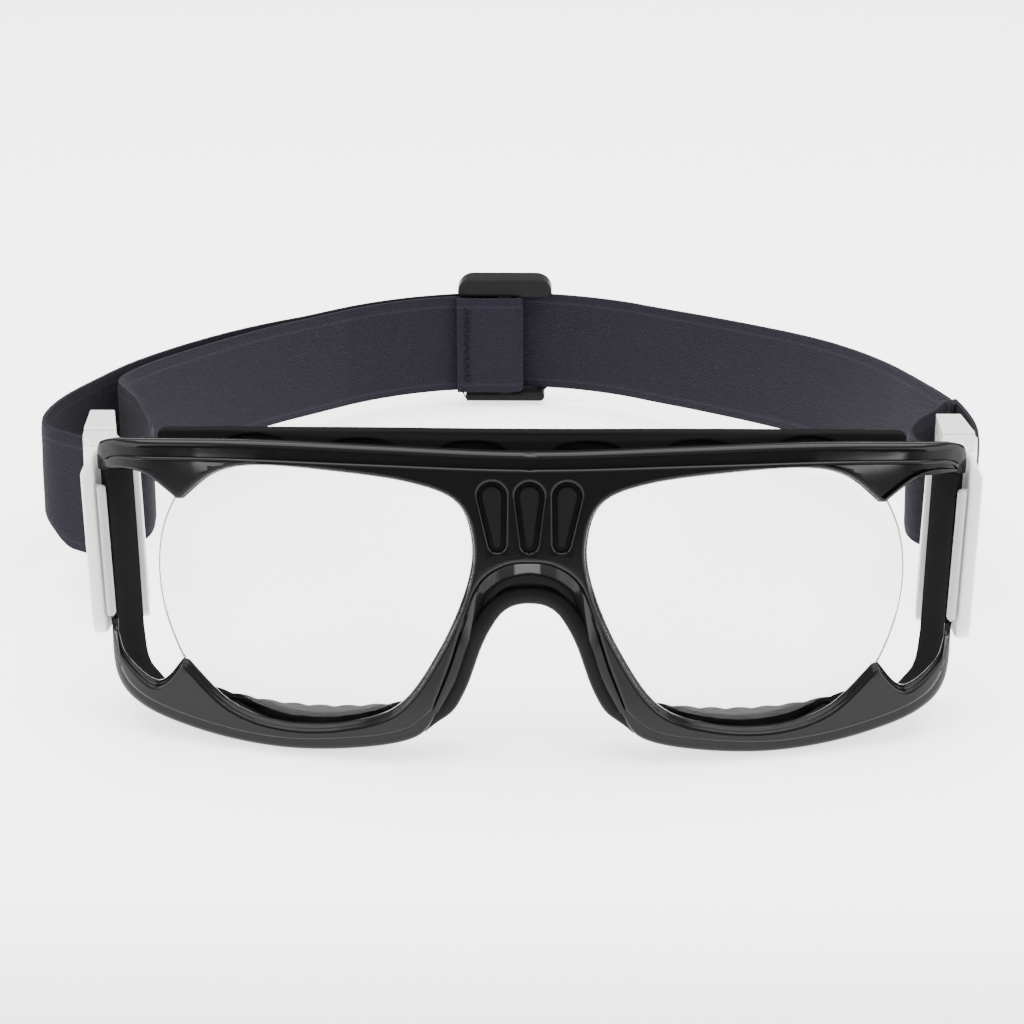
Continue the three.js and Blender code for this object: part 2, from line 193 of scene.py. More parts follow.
BROW_TOP = spline([(0, 59.8), (28, 60.4), (52, 60.4), (76, 59)])
BROW_END = spline([(76, 59), (79, 58), (79.9, 55.5), (79.9, 52.6)], 4)
RIM_LOW = spline([
    (79.9, 24), (78.6, 13), (73, 7.4), (61, 3.5), (46, 1.8), (31, 2.8), (20.8, 5.4), (16.8, 10.5),
])
NOSE_LEG = spline([(16.8, 10.5), (13.6, 16.5), (11.4, 23), (8.9, 28.8), (5.2, 33.6), (0, 35.2)])
FACE_BROW = spline([(0, 57), (28, 57.4), (52, 57.3), (68, 56.6), (76.6, 55.8), (79.2, 53.2)])
FACE_RIM = spline([
    (79.3, 23), (77.5, 14.4), (72, 9.6), (60.4, 5.9), (46, 4.1), (31, 5.3), (22.5, 7.4), (17.9, 11.2),
])
FACE_LEG = spline([(17.9, 11.2), (14.5, 20.3), (12, 28.5), (9.1, 35.7), (4.7, 39), (0, 39.7)])
INNER = SIDE_X - WALL
WINDOW = chain(
    spline([(INNER, 21), (76.4, 16.6), (70.2, 12.6), (65.4, 17.5)]),
    spline([
        (64.2, 17.3), (56, 9.7), (46, 6.8), (34, 7.6), (24, 11.6), (16.4, 22.8), (11.6, 34.5), (10.6, 43),
        (13.4, 50.4), (22, 53.8), (36, 55.4), (50, 55.8), (58, 53.8), (64.2, 48.6),
    ]),
    spline([(65.4, 48.5), (70.4, 52.5), (74, 53.3), (INNER, 52.6)]),
)
POCKET = chain(
    spline([(9, 43), (11.2, 51.7), (20, 55.4), (34, 57.1), (50, 57.6), (60, 56.4)]),
    [(60, 56.4), (72, 55.6), (INNER, 54.2), (INNER, 20)],
    spline([(INNER, 20), (75.6, 14), (69, 10), (61, 8.2), (56, 8)], 4),
    spline([(56, 8), (50, 5.5), (42, 5), (30, 6.9), (21.1, 11.6), (14.4, 22.8), (10.1, 35.5), (9, 43)]),
)
LENS_EDGE = spline([
    (9.4, 43), (11.6, 51.4), (20, 55), (34, 56.7), (50, 57.2), (62, 53.6), (68, 44.6), (69.9, 33.5),
    (68.2, 22.6), (62.8, 12.8), (53, 6.6), (42, 5.4), (30, 7.3), (21.4, 12), (14.8, 23), (10.5, 35.5),
    (9.4, 43),
])


def tidy(loop, least=0.25):
    """A closed loop without points that crowd each other or double back."""
    out = []
    for point in loop:
        if not out or (point - out[-1]).length > least:
            out.append(point)
    if (out[0] - out[-1]).length < least:
        out.pop()
    kept = []
    for i, point in enumerate(out):
        a, b = point - out[i - 1], out[(i + 1) % len(out)] - point
        if abs(a.angle_signed(b)) < math.radians(115):
            kept.append(point)
    return kept


def grown(points, by):
    """Moves an open line of points sideways, to the left of its direction."""
    out = []
    for i, point in enumerate(points):
        along = (points[min(i + 1, len(points) - 1)] - points[max(i - 1, 0)]).normalized()
        out.append(point + Vector((-along.y, along.x)) * by)
    return out


def at_share(points, share):
    """The point at this share of a line's length."""
    lengths = [0.0]
    for a, b in zip(points, points[1:]):
        lengths.append(lengths[-1] + (b - a).length)
    want = share * lengths[-1]
    for i in range(1, len(points)):
        if lengths[i] >= want - 1e-9:
            span = lengths[i] - lengths[i - 1]
            return points[i - 1].lerp(points[i], (want - lengths[i - 1]) / span)
    return points[-1]


# ---------- meshes ----------
def plate(bm, outer, holes, w0, w1, bevel, place, step=1.6, rounds=3, coat=0):
    """Adds a bevelled slab to bm. place turns (u, v, w) into the row frame."""
    curve = bpy.data.curves.new("plate", "CURVE")
    curve.dimensions = "2D"
    curve.fill_mode = "BOTH"
    curve.extrude = (w1 - w0) / 2 - bevel
    curve.bevel_depth = bevel
    curve.bevel_resolution = rounds
    curve.offset = -bevel
    for loop in map(tidy, [outer, *holes]):
        line = curve.splines.new("POLY")
        line.points.add(len(loop) - 1)
        for point, (u, v) in zip(line.points, loop):
            point.co = (u, v, 0, 1)
        line.use_cyclic_u = True
    holder = bpy.data.objects.new("plate", curve)
    mesh = bpy.data.meshes.new_from_object(holder)
    part = bmesh.new()
    part.from_mesh(mesh)
    bmesh.ops.remove_doubles(part, verts=part.verts, dist=1e-4)
    us = [vert.co.x for vert in part.verts]
    for i in range(math.ceil(min(us) / step), math.floor(max(us) / step) + 1):
        everything = [*part.verts, *part.edges, *part.faces]
        bmesh.ops.bisect_plane(part, geom=everything, plane_co=(i * step, 0, 0), plane_no=(1, 0, 0))
    middle = (w0 + w1) / 2
    for vert in part.verts:
        vert.co = place(vert.co.x, vert.co.y, middle + vert.co.z)
    for face in part.faces:
        face.material_index = coat
    bmesh.ops.recalc_face_normals(part, faces=part.faces)
    part.to_mesh(mesh)
    bm.from_mesh(mesh)
    part.free()
    bpy.data.objects.remove(holder)
    bpy.data.curves.remove(curve)
    bpy.data.meshes.remove(mesh)


def skin(bm, rings, closed_ring=True, caps=True, uv=None):
    """Adds a surface through rings of points and returns its rows of faces.

    uv gives the (u, v) of point j of ring i.
    """
    layer = bm.loops.layers.uv.verify()
    rows = []
    verts = [[bm.verts.new(point) for point in ring] for ring in rings]
    n = len(rings[0])
    spans = n if closed_ring else n - 1
    for i in range(len(rings) - 1):
        rows.append([])
        for j in range(spans):
            k = (j + 1) % n
            face = bm.faces.new((verts[i][j], verts[i][k], verts[i + 1][k], verts[i + 1][j]))
            rows[-1].append(face)
            if uv:
                corners = ((i, j), (i, j + 1), (i + 1, j + 1), (i + 1, j))
                for loop, (a, b) in zip(face.loops, corners):
                    loop[layer].uv = uv(a, b)
    if caps and closed_ring:
        bm.faces.new(verts[0])
        bm.faces.new(reversed(verts[-1]))
    return rows


def finished(bm, name, material, sharp=40, weighted=True):
    """A shaded object from bm."""
    bmesh.ops.recalc_face_normals(bm, faces=bm.faces)
    mesh = bpy.data.meshes.new(name)
    bm.to_mesh(mesh)
    bm.free()
    mesh.shade_smooth()
    mesh.set_sharp_from_angle(angle=math.radians(sharp))
    mesh.materials.append(material)
    obj = bpy.data.objects.new(name, mesh)
    bpy.context.scene.collection.objects.link(obj)
    if weighted:
        normals = obj.modifiers.new("normals", "WEIGHTED_NORMAL")
        normals.keep_sharp = True
        normals.weight = 60
    return obj


def piece(bm, name, material, body, nodes, slot, **look):
    """A finished object that rides on a body and stands for CAD nodes."""
    obj = finished(bm, name, material, **look)
    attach(obj, body)
    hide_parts(*nodes)
    return obj


# ---------- materials ----------
def plain(name, color, roughness, **inputs):
    material = bpy.data.materials.new(name)
    material.use_nodes = True
    shader = material.node_tree.nodes["Principled BSDF"]
    shader.inputs["Base Color"].default_value = (*color, 1)
    shader.inputs["Roughness"].default_value = roughness
    for key, value in inputs.items():
        shader.inputs[key.replace("_", " ")].default_value = value
    return material


def smooth_span(tree, source, low, high, least, most):
    """The value that runs smoothly from least to most as the source goes from low to high."""
    span = tree.nodes.new("ShaderNodeMapRange")
    span.interpolation_type = "SMOOTHSTEP"
    for name, value in zip(("From Min", "From Max", "To Min", "To Max"), (low, high, least, most)):
        span.inputs[name].default_value = value
    tree.links.new(source, span.inputs["Value"])
    return span.outputs["Result"]


def worn(material, rough, scale, bump=0.0, bump_scale=900):
    """Gives a moulded surface its gloss variation and a very fine grain."""
    tree = material.node_tree
    shader = tree.nodes["Principled BSDF"]
    place = tree.nodes.new("ShaderNodeTexCoord")
    noise = tree.nodes.new("ShaderNodeTexNoise")
    noise.inputs["Scale"].default_value = scale
    noise.inputs["Detail"].default_value = 5
    tree.links.new(place.outputs["Object"], noise.inputs["Vector"])
    span = tree.nodes.new("ShaderNodeMapRange")
    span.inputs["To Min"].default_value, span.inputs["To Max"].default_value = rough
    tree.links.new(noise.outputs["Fac"], span.inputs["Value"])
    tree.links.new(span.outputs["Result"], shader.inputs["Roughness"])
    if bump:
        grain = tree.nodes.new("ShaderNodeTexNoise")
        grain.inputs["Scale"].default_value = bump_scale
        tree.links.new(place.outputs["Object"], grain.inputs["Vector"])
        relief = tree.nodes.new("ShaderNodeBump")
        relief.inputs["Strength"].default_value = bump
        relief.inputs["Distance"].default_value = 0.0002
        tree.links.new(grain.outputs["Fac"], relief.inputs["Height"])
        tree.links.new(relief.outputs["Normal"], shader.inputs["Normal"])
    return material


def painted_reflection_middle(material):
    """The band over the nose reflects strongly in its middle and weakly on its flanks. This is painted
    reflection: the reflectivity is set by distance from the middle line to place the reflection there, though
    the reflected light itself still comes from the lamps and surroundings.
    """
    tree = material.node_tree
    place = tree.nodes.new("ShaderNodeTexCoord")
    axes = tree.nodes.new("ShaderNodeSeparateXYZ")
    tree.links.new(place.outputs["Object"], axes.inputs["Vector"])
    offset = tree.nodes.new("ShaderNodeMath")
    offset.operation = "SUBTRACT"
    offset.inputs[1].default_value = ORIGIN.x - 0.0004
    tree.links.new(axes.outputs["X"], offset.inputs[0])
    size = tree.nodes.new("ShaderNodeMath")
    size.operation = "ABSOLUTE"
    tree.links.new(offset.outputs[0], size.inputs[0])
    ramp = tree.nodes.new("ShaderNodeValToRGB")
    stops = ((0, 0.34), (0.21, 0.34), (0.25, 0.03), (0.5, 0.03), (0.6, 0.1), (0.8, 0.1), (0.95, 0.19))
    while len(ramp.color_ramp.elements) < len(stops):
        ramp.color_ramp.elements.new(0.5)
    for element, (position, level) in zip(ramp.color_ramp.elements, stops):
        element.position = position
        element.color = (level, level, level, 1)
    share = tree.nodes.new("ShaderNodeMath")
    share.operation = "MULTIPLY"
    share.inputs[1].default_value = 100
    tree.links.new(size.outputs[0], share.inputs[0])
    tree.links.new(share.outputs[0], ramp.inputs["Fac"])
    tree.links.new(ramp.outputs["Color"], tree.nodes["Principled BSDF"].inputs["Specular IOR Level"])
    return material


def woven(name, color, edge_color):
    """Elastic webbing: fine warp ribs and weft rows, with a selvedge line near each edge. UV is in mm."""
    material = plain(name, color, 0.85, Specular_IOR_Level=0.08)
    tree = material.node_tree
    nodes, links = tree.nodes, tree.links
    shader = nodes["Principled BSDF"]
    shader.inputs["Sheen Weight"].default_value = 0.025
    shader.inputs["Sheen Roughness"].default_value = 0.5
    uv = nodes.new("ShaderNodeUVMap")
    split = nodes.new("ShaderNodeSeparateXYZ")
    links.new(uv.outputs["UV"], split.inputs["Vector"])

    def math_node(kind, a, b=None):
        made = nodes.new("ShaderNodeMath")
        made.operation = kind
        for slot_index, value in enumerate((a, b)):
            if value is None:
                continue
            if isinstance(value, (int, float)):
                made.inputs[slot_index].default_value = value
            else:
                links.new(value, made.inputs[slot_index])
        return made.outputs[0]

    warp = math_node("SINE", math_node("MULTIPLY", split.outputs["Y"], 2 * math.pi / 0.62))
    weft = math_node("SINE", math_node("MULTIPLY", split.outputs["X"], 2 * math.pi / 0.48))
    weave = math_node("MULTIPLY", warp, weft)
    ribs = math_node("ADD", math_node("MULTIPLY", warp, 0.5), math_node("MULTIPLY", weave, 0.5))
    across = math_node("ABSOLUTE", math_node("SUBTRACT", split.outputs["Y"], WEB_H / 2))
    line = math_node("COMPARE", across, 10.4)
    line.node.inputs[2].default_value = 0.35
    fuzz = nodes.new("ShaderNodeTexNoise")
    fuzz.inputs["Scale"].default_value = 1.7
    fuzz.inputs["Detail"].default_value = 8
    links.new(uv.outputs["UV"], fuzz.inputs["Vector"])
    fibres = fuzz.outputs["Fac"]
    tone = math_node("ADD", math_node("MULTIPLY", ribs, 0.16), math_node("MULTIPLY", fibres, 0.9))
    ramp = nodes.new("ShaderNodeMix")
    ramp.data_type = "RGBA"
    ramp.inputs[6].default_value = (*[c * 0.72 for c in color], 1)
    ramp.inputs[7].default_value = (*[c * 1.3 for c in color], 1)
    links.new(tone, ramp.inputs[0])
    edge = nodes.new("ShaderNodeMix")
    edge.data_type = "RGBA"
    edge.inputs[7].default_value = (*edge_color, 1)
    links.new(math_node("MULTIPLY", line, 0.25), edge.inputs[0])
    links.new(ramp.outputs[2], edge.inputs[6])
    links.new(edge.outputs[2], shader.inputs["Base Color"])
    relief = nodes.new("ShaderNodeBump")
    relief.inputs["Strength"].default_value = 0.45
    relief.inputs["Distance"].default_value = 0.0002
    height = math_node("ADD", ribs, math_node("MULTIPLY", fibres, 0.8))
    links.new(height, relief.inputs["Height"])
    links.new(relief.outputs["Normal"], shader.inputs["Normal"])
    return material


GLOSS = worn(plain("gloss_black", (0.004, 0.004, 0.0044), 0.08, Specular_IOR_Level=0.15), (0.03, 0.08), 35)
# The nose band's reflectivity is painted by position: high in the middle and low on the flanks, to place its
# reflection.
NOSE_BAND = painted_reflection_middle(plain("nose_band", (0.005, 0.005, 0.0055), 0.08))
WALLS = worn(plain("frame_walls", (0.012, 0.012, 0.0125), 0.4, Specular_IOR_Level=0.0), (0.35, 0.5), 35)
SOFT = worn(
    plain("soft_black", (0.009, 0.009, 0.0094), 0.3, Specular_IOR_Level=0.0), (0.22, 0.36), 60, 0.02, 700,
)
SATIN = worn(
    plain("satin_black", (0.011, 0.011, 0.0112), 0.4, Specular_IOR_Level=0.02), (0.34, 0.46), 90, 0.03, 1200,
)
RUBBER = worn(
    plain("nose_rubber", (0.007, 0.007, 0.0073), 0.35, Specular_IOR_Level=0.045), (0.3, 0.42), 60, 0.02, 700,
)
MILKY = worn(
    plain("milky_white", (0.66, 0.655, 0.64), 0.35, Subsurface_Weight=0.35, Subsurface_Scale=0.004,
          Subsurface_Radius=(0.9, 0.95, 1)),
    (0.3, 0.42), 70, 0.05, 800,
)
# A darker copy of the milky plastic for the clip's bead and link: painted shade for where they sit in the
# frame's slot.
MILKY_PAINTED_SHADE = worn(plain("milky_bead_painted_shade", (0.36, 0.36, 0.355), 0.4), (0.34, 0.46), 70, 0.05, 800)
CLEAR = plain("clear_lens", (0.94, 0.935, 0.925), 0.02, Transmission_Weight=1.0, IOR=1.35)
LENS_RIM = plain("lens_rim", (0.24, 0.255, 0.28), 0.25)
WEBBING = woven("webbing", (0.0102, 0.0088, 0.0136), (0.025, 0.022, 0.031))
THREAD = plain("thread", (0.008, 0.007, 0.01), 0.8, Specular_IOR_Level=0.1)


# ---------- front frame ----------
def base_outline():
    """The stepped edge plate: the window is open towards the clip's slot."""
    side = [(INNER, 23.8), (79.9, 23.8)]
    right = chain(BROW_TOP, BROW_END, turned(WINDOW), side, RIM_LOW[1:], FACE_LEG[2:])
    return both_sides(right)


def face_outline():
    opening = grown(WINDOW, 0.45)
    right = chain(FACE_BROW, turned(opening), FACE_RIM, FACE_LEG)
    return both_sides(right)


def teardrop(x, lean, grow=0.0):
    """The outline round a large circle at the top and a small one at the bottom."""
    top, low = Vector((x, 52)), Vector((x + lean, 43.1))
    big, small = 2.6 + grow, 1.5 + grow
    down = (low - top).normalized()
    tangent = math.acos((big - small) / (low - top).length)
    aim = math.atan2(down.y, down.x)
    out = []
    for centre, radius, start, end in (
        (top, big, aim + tangent, aim + 2 * math.pi - tangent), (low, small, aim - tangent, aim + tangent),
    ):
        for i in range(15):
            a = mix(start, end, i / 14)
            out.append(centre + Vector((math.cos(a), math.sin(a))) * radius)
    return out


DROPS = {"left": (-6.8, 0.95), "middle": (0, 0), "right": (6.8, -0.95)}


def wall_place(x, z, w):
    """The walls run back to depth_at; the lower corner slopes down and its rear edge is scalloped."""
    start = 3.1 if abs(x) > 77.5 and SLOT_Z[0] < z < SLOT_Z[1] else 2.5
    corner = smooth(58, 70, abs(x)) * smooth(26, 16, z)
    rear = depth_at(x) + 0.55 * corner * math.sin(abs(x) * 2 * math.pi / 6.5)
    depth = mix(start, rear, w / 10)
    taper = 1 - 0.001 * depth * smooth(70, 78, abs(x))
    slope = 0.2 * corner + 0.25 * smooth(50, 58, z)
    return wrapped(x * taper, depth, z - slope * max(0, depth - FACE))


def on_face(x, z, w):
    """A point of the front plates. Their face turns back towards the sides at both ends."""
    bend = 2.4 * max(0, (abs(x) - 70) / 9.9) ** 2
    return wrapped(x, w + bend * (1 - w / FACE), z)


def nose_shelf(bm):
    """The surface from the face's edge to the nose opening.

    It is a band on the legs and a sloping shelf on the arch.
    """
    edge = chain(FACE_LEG, turned(flip(FACE_LEG)))
    opening = chain(NOSE_LEG, turned(flip(NOSE_LEG)))
    rings = []
    count = 90
    for i in range(count + 1):
        a, b = at_share(edge, i / count), at_share(opening, i / count)
        arch = smooth(24, 37, a.y)
        low = mix(0.1, 3.2, arch)
        rings.append([
            wrapped(mix(a.x, b.x, -0.25), 0.6, mix(a.y, b.y, -0.25)),
            wrapped(a.x, 0.35, a.y),
            wrapped(mix(a.x, b.x, 0.1), mix(0.5, 0.2, arch), mix(a.y, b.y, 0.1)),
            wrapped(mix(a.x, b.x, 0.22), mix(0.05, 0.7, arch), mix(a.y, b.y, 0.22)),
            wrapped(mix(a.x, b.x, 0.6), mix(0.0, 2.0, arch), mix(a.y, b.y, 0.6)),
            wrapped(mix(a.x, b.x, 0.93), low, mix(a.y, b.y, 0.93)),
            wrapped(b.x, low + 0.5, b.y),
            wrapped(b.x, depth_at(b.x) - 0.3, b.y),
            wrapped(mix(a.x, b.x, 0.5), depth_at(b.x) - 0.2, mix(a.y, b.y, 0.5)),
        ])
    # Faces 2 to 4 of each ring take the nose band, whose reflection is painted by its position mask.
    for faces in skin(bm, rings):
        for face in faces[2:5]:
            face.material_index = 2


def front_frame():
    bm = bmesh.new()
    plate(bm, base_outline(), [], 0, FACE, 1.3, on_face, rounds=6)
    drops = [teardrop(*drop) for drop in DROPS.values()]
    plate(bm, face_outline(), drops, -STEP, 2.1, 0.7, on_face, rounds=6)
    pocket = [POCKET[:-1], flip(POCKET[:-1])]
    outer = both_sides(chain(BROW_TOP, BROW_END, RIM_LOW, NOSE_LEG))
    plate(bm, outer, pocket, 0, 10, 0.12, wall_place, rounds=1, coat=1)
    nose_shelf(bm)
    obj = piece(bm, "frame_moulding", GLOSS, "frame", ["front_frame"], "frame_gloss", sharp=38)
    obj.data.materials.append(WALLS)
    obj.data.materials.append(NOSE_BAND)


def on_curve(x, z, w):
    """A point of a plate that follows the curved face."""
    return wrapped(x, w, z)


def bridge_inlays():
    for side, (x, lean) in DROPS.items():
        bm = bmesh.new()
        loop = teardrop(x, lean, -0.85)
        plate(bm, loop, [], -STEP + 0.15, 0.3, 0.35, on_curve, rounds=4)
        piece(bm, "bridge_raised_" + side, SOFT, "frame", ["bridge_inlay_" + side], "soft_black")


def lenses():
    for side, hand in (("left", -1), ("right", 1)):
        bm = bmesh.new()
        loop = [Vector((p.x * hand, p.y)) for p in LENS_EDGE[:-1]]
        plate(bm, loop, [], LENS_FRONT, LENS_FRONT + LENS_T, 0.35, on_curve, rounds=2)
        obj = piece(bm, "lens_clear_" + side, CLEAR, "frame", ["lens_" + side], "lens_clear", sharp=50)
        obj.data.materials.append(LENS_RIM)
        for face in obj.data.polygons:
            if abs(face.normal.dot(leaned(0, 1, 0) - leaned(0, 0, 0)) / MM) < 0.9:
                face.material_index = 1


# ---------- soft linings ----------
def brow_liner():
    """The soft strip behind the brow bar: arched vents in its lower edge and a soft roll along its top."""
    top = spline([(0, 62.2), (30, 61.9), (55, 60.7), (68, 59.2)])
    end = spline([(68, 59.2), (70.2, 58.8), (71, 58), (71, 56.8)], 3)
    steps = 240
    low = []
    for i in range(steps + 1):
        x = mix(LINER_END, 0, i / steps)
        low.append((x, 58.4 - 1.6 * smooth(46, 68, x) + vent(x)))
    outer = both_sides(chain(top, end, low))
    bm = bmesh.new()

    def place(x, z, w):
        roll = 0.4 * smooth(60.2, 61.8, z)
        return wrapped(x, depth_at(x) + LINER_GAP + roll + w, z)

    plate(bm, outer, [], 0, 1.6, 0.45, place, rounds=4)
    padding = both_sides(chain(top, end, [(LINER_END, 56.8), (50, 58.2), (0, 58.4)]))
    plate(bm, padding, [], 1.0, 3.2, 0.6, place, rounds=4)
    obj = piece(bm, "brow_pad", SOFT, "frame", ["brow_liner"], "soft_black")


def vent(x):
    """Height of the arched vents in the brow liner's lower edge."""
    for centre in (-52, -31, -10.5, 10.5, 31, 52):
        t = (x - centre) / 6.2
        if abs(t) < 1:
            return 1.9 * math.sqrt(1 - t * t)
    return 0.0


def behind_face(x, z, w):
    """A point of a lining that lies against the frame's back."""
    return wrapped(x, depth_at(x) + LINER_GAP + w, z)


def cheek_liners():
    for side, hand in (("left", -1), ("right", 1)):
        upper = []
        steps = 160
        for i in range(steps + 1):
            x = mix(68, 22, i / steps)
            wave = 0.35 * abs(math.sin((x - 22) * math.pi / 5.1))
            upper.append((x * hand, 7.7 + 0.0042 * (x - 44) ** 2 + wave))
        lower = [(x * hand, z) for x, z in spline([(22, 7), (31, 4.4), (46, 3), (60, 4.6), (68, 7)])]
        bm = bmesh.new()
        plate(bm, chain(upper, lower), [], 0, 2.5, 0.6, behind_face)
        obj = piece(bm, "cheek_pad_" + side, SOFT, "frame", ["cheek_liner_" + side], "soft_black")


def nose_saddle():
    """The soft lining of the nose arch, with a rolled front edge."""
    half = spline([
        (19.6, 6.6), (17.4, 9.2), (14.9, 11.4), (12.8, 15.4), (11.3, 19.6), (10.1, 23.1), (8.5, 26.5),
        (6.2, 29.8), (3.4, 31.6), (0, 32.1),
    ])
    line = chain(half, turned(flip(half)))
    rings = []
    count = 80
    for i in range(count + 1):
        share = i / count
        at = at_share(line, share)
        ahead, behind = at_share(line, min(1, share + 0.01)), at_share(line, max(0, share - 0.01))
        along = (ahead - behind).normalized()
        out = Vector((-along.y, along.x))
        if out.dot(at - Vector((0, 20))) < 0:
            out = -out
        end = min(share, 1 - share) * 2
        thick = 1.15 * min(1, 0.45 + 5 * end)
        arch = smooth(24, 36, at.y)
        front, rear = mix(0.75, 2.2, arch), 11.9
        ring = []
        for a, d in ((1.9, front + 1.2), (1.9, rear - 1), (0.5, rear), (-0.6, rear), (-1.2, rear - 1.2),
                     (-1.2, front + 3), (-1.17, front + 1.7), (-0.95, front + 0.9), (-0.5, front + 0.4),
                     (0.2, front + 0.15), (1, front + 0.15), (1.6, front + 0.45)):
            p = at + out * thick * a
            ring.append(wrapped(p.x, d, p.y))
        rings.append(ring)
    bm = bmesh.new()
    skin(bm, rings)
    obj = piece(bm, "nose_pad", RUBBER, "frame", ["nose_saddle"], "soft_black", sharp=60)


# ---------- side clips ----------
def rounded_box(u0, u1, v0, v1, r, steps=5):
    """A rectangle with rounded corners; r is one radius or four, from the lower left round."""
    radii = r if isinstance(r, tuple) else (r,) * 4
    corners = (
        (u0 + radii[0], v0 + radii[0], math.pi), (u1 - radii[1], v0 + radii[1], 1.5 * math.pi),
        (u1 - radii[2], v1 - radii[2], 0), (u0 + radii[3], v1 - radii[3], 0.5 * math.pi),
    )
    out = []
    for (u, v, start), radius in zip(corners, radii):
        for i in range(steps + 1):
            a = start + i / steps * math.pi / 2
            out.append(Vector((u + radius * math.cos(a), v + radius * math.sin(a))))
    return out


def line_at(points, y):
    """Linear interpolation in a list of (y, value)."""
    for (y0, a), (y1, b) in zip(points, points[1:]):
        if y <= y1:
            return mix(a, b, max(0, (y - y0) / (y1 - y0)))
    return points[-1][1]


PULL = 4.2  # how far the right clip's rear end is drawn in by the strap
PLATE_X = [(14, 81.6), (34, 81.65), (41, 82.9)]
ARM_X = [(34, 79.4), (39, 79.8), (55.5, 86.35), (78, 89.7)]
ARM_HALF = [(34, 4.2), (39, 4.1), (55.5, 3.5), (78, 2.55)]


def side_clips():
    for side, hand in (("left", -1), ("right", 1)):
        bm = bmesh.new()

        def at_side(x, y, z):
            return leaned(hand * flare(x, mix(z, CLIP_Z[1], smooth(38, 60, y))), y, z)

        def on_plate(y, z, w):
            rounded = 1.5 * smooth(51, 55.4, z) * smooth(-1.3, 1.3, w)
            return at_side(line_at(PLATE_X, y) + w - rounded, y, z)

        def on_arm(y, z, w):
            pulled = PULL * max(0, y - 42) / 35 if hand > 0 else 0
            return at_side(line_at(ARM_X, y) - pulled + w * line_at(ARM_HALF, y), y, z)

        plate(bm, rounded_box(15.2, 40.5, 20.5, 55.4, (3, 3, 7, 3.5)), [], -1.3, 1.35, 0.55, on_plate, step=2)
        hole = rounded_box(58, 72.8, CLIP_Z[0] + 2.6, CLIP_Z[1] - 2.6, 1.2)
        arm = rounded_box(34.6, 77.6, CLIP_Z[0], CLIP_Z[1] - 0.6, (1.5, 3, 3, 1.5))
        plate(bm, arm, [hole], -1, 1, 0.2, on_arm, step=2)
        for y, top in ((47, 0), (59, 0.6)):
            terrace = rounded_box(y, 77.2, CLIP_Z[1] - 2.4, CLIP_Z[1] + top, 0.5, 3)
            plate(bm, terrace, [], -0.98, 0.98, 0.1, on_arm, step=2)
        # coat=1 gives the bead and the link the darker milky copy, which is painted shade.
        bead = rounded_box(BEAD[1] - BEAD_R, BEAD[1] + BEAD_R, *BEAD_Z, 0.6, 3)
        plate(bm, bead, [], -0.75, 0.75, 0.6, lambda y, z, w: at_side(BEAD[0] + w, y, z), step=3, coat=1)
        link = rounded_box(BEAD[1] + 0.2, BEAD[1] + 1.1, *BEAD_Z, 0.3, 3)
        plate(bm, link, [], 0.4, 2.2, 0.1, lambda y, z, w: at_side(BEAD[0] + w, y, z), step=3, coat=1)
        nodes = ["side_clip_" + side]
        obj = piece(bm, "clip_shell_" + side, MILKY, "clip_" + side, nodes, "clip_milky", sharp=45)
        obj.data.materials.append(MILKY_PAINTED_SHADE)


# ---------- strap ----------
def lean_at(y):
    return LEAN * min(1, max(0, 1 - (y - 85) / 70))


def on_arc(degrees, r):
    a = math.radians(degrees)
    return (ARC_X + r * math.sin(a), ARC_Y + r * math.cos(a), BACK_Z)


def arc(start, end, r, n):
    return [on_arc(mix(start, end, i / n), r) for i in range(n + 1)]


RIGHT_SIDE = [
    (41.5, 184.5, 17), (53.5, 175, 17.6), (64, 164.5, 18.5), (72.5, 153, 19.5), (80.5, 137, 20.8),
    (87, 117, 22.4), (90.4, 105, 23.2), (91.2, 100.5, 23.5),
]
LEFT_OUTER = [
    (-58, 182.5, 17.2), (-67, 173.5, 18), (-75.5, 163.5, 18.8), (-84, 151, 19.8), (-92.6, 134, 21.3),
    (-98.1, 119, 22.4),
]
LEFT_TURN = [
    (-102.8, 103, 23.6), (-104.4, 90, 24.4), (-103, 82, 24.4), (-96, 77.2, 24), (-88.6, 73.4, 24),
    (-83.4, 72.2, 25.6), (-80.9, 75.4, 26.6), (-81, 82, 26.8), (-84, 92, 26), (-88.6, 104, 24.4),
    (-93.2, 118.4, 22.5),
]
LEFT_INNER = [
    (-89.2, 132.5, 21.3), (-81, 148.5, 19.8), (-73, 161, 18.8), (-64.8, 171.6, 18), (-56.2, 181.2, 17.2),
]
RIGHT_LOOP = [
    (91.4, 104.4, 23.4), (92.4, 95, 24), (93, 86, 24), (92.2, 78.4, 24), (89, 73.4, 24), (84, 72, 25.4),
    (79.7, 74.2, 26.4), (78.6, 80, 26.8), (81, 87.6, 26.4), (85.8, 95, 25), (89.2, 103.6, 23.4),
]


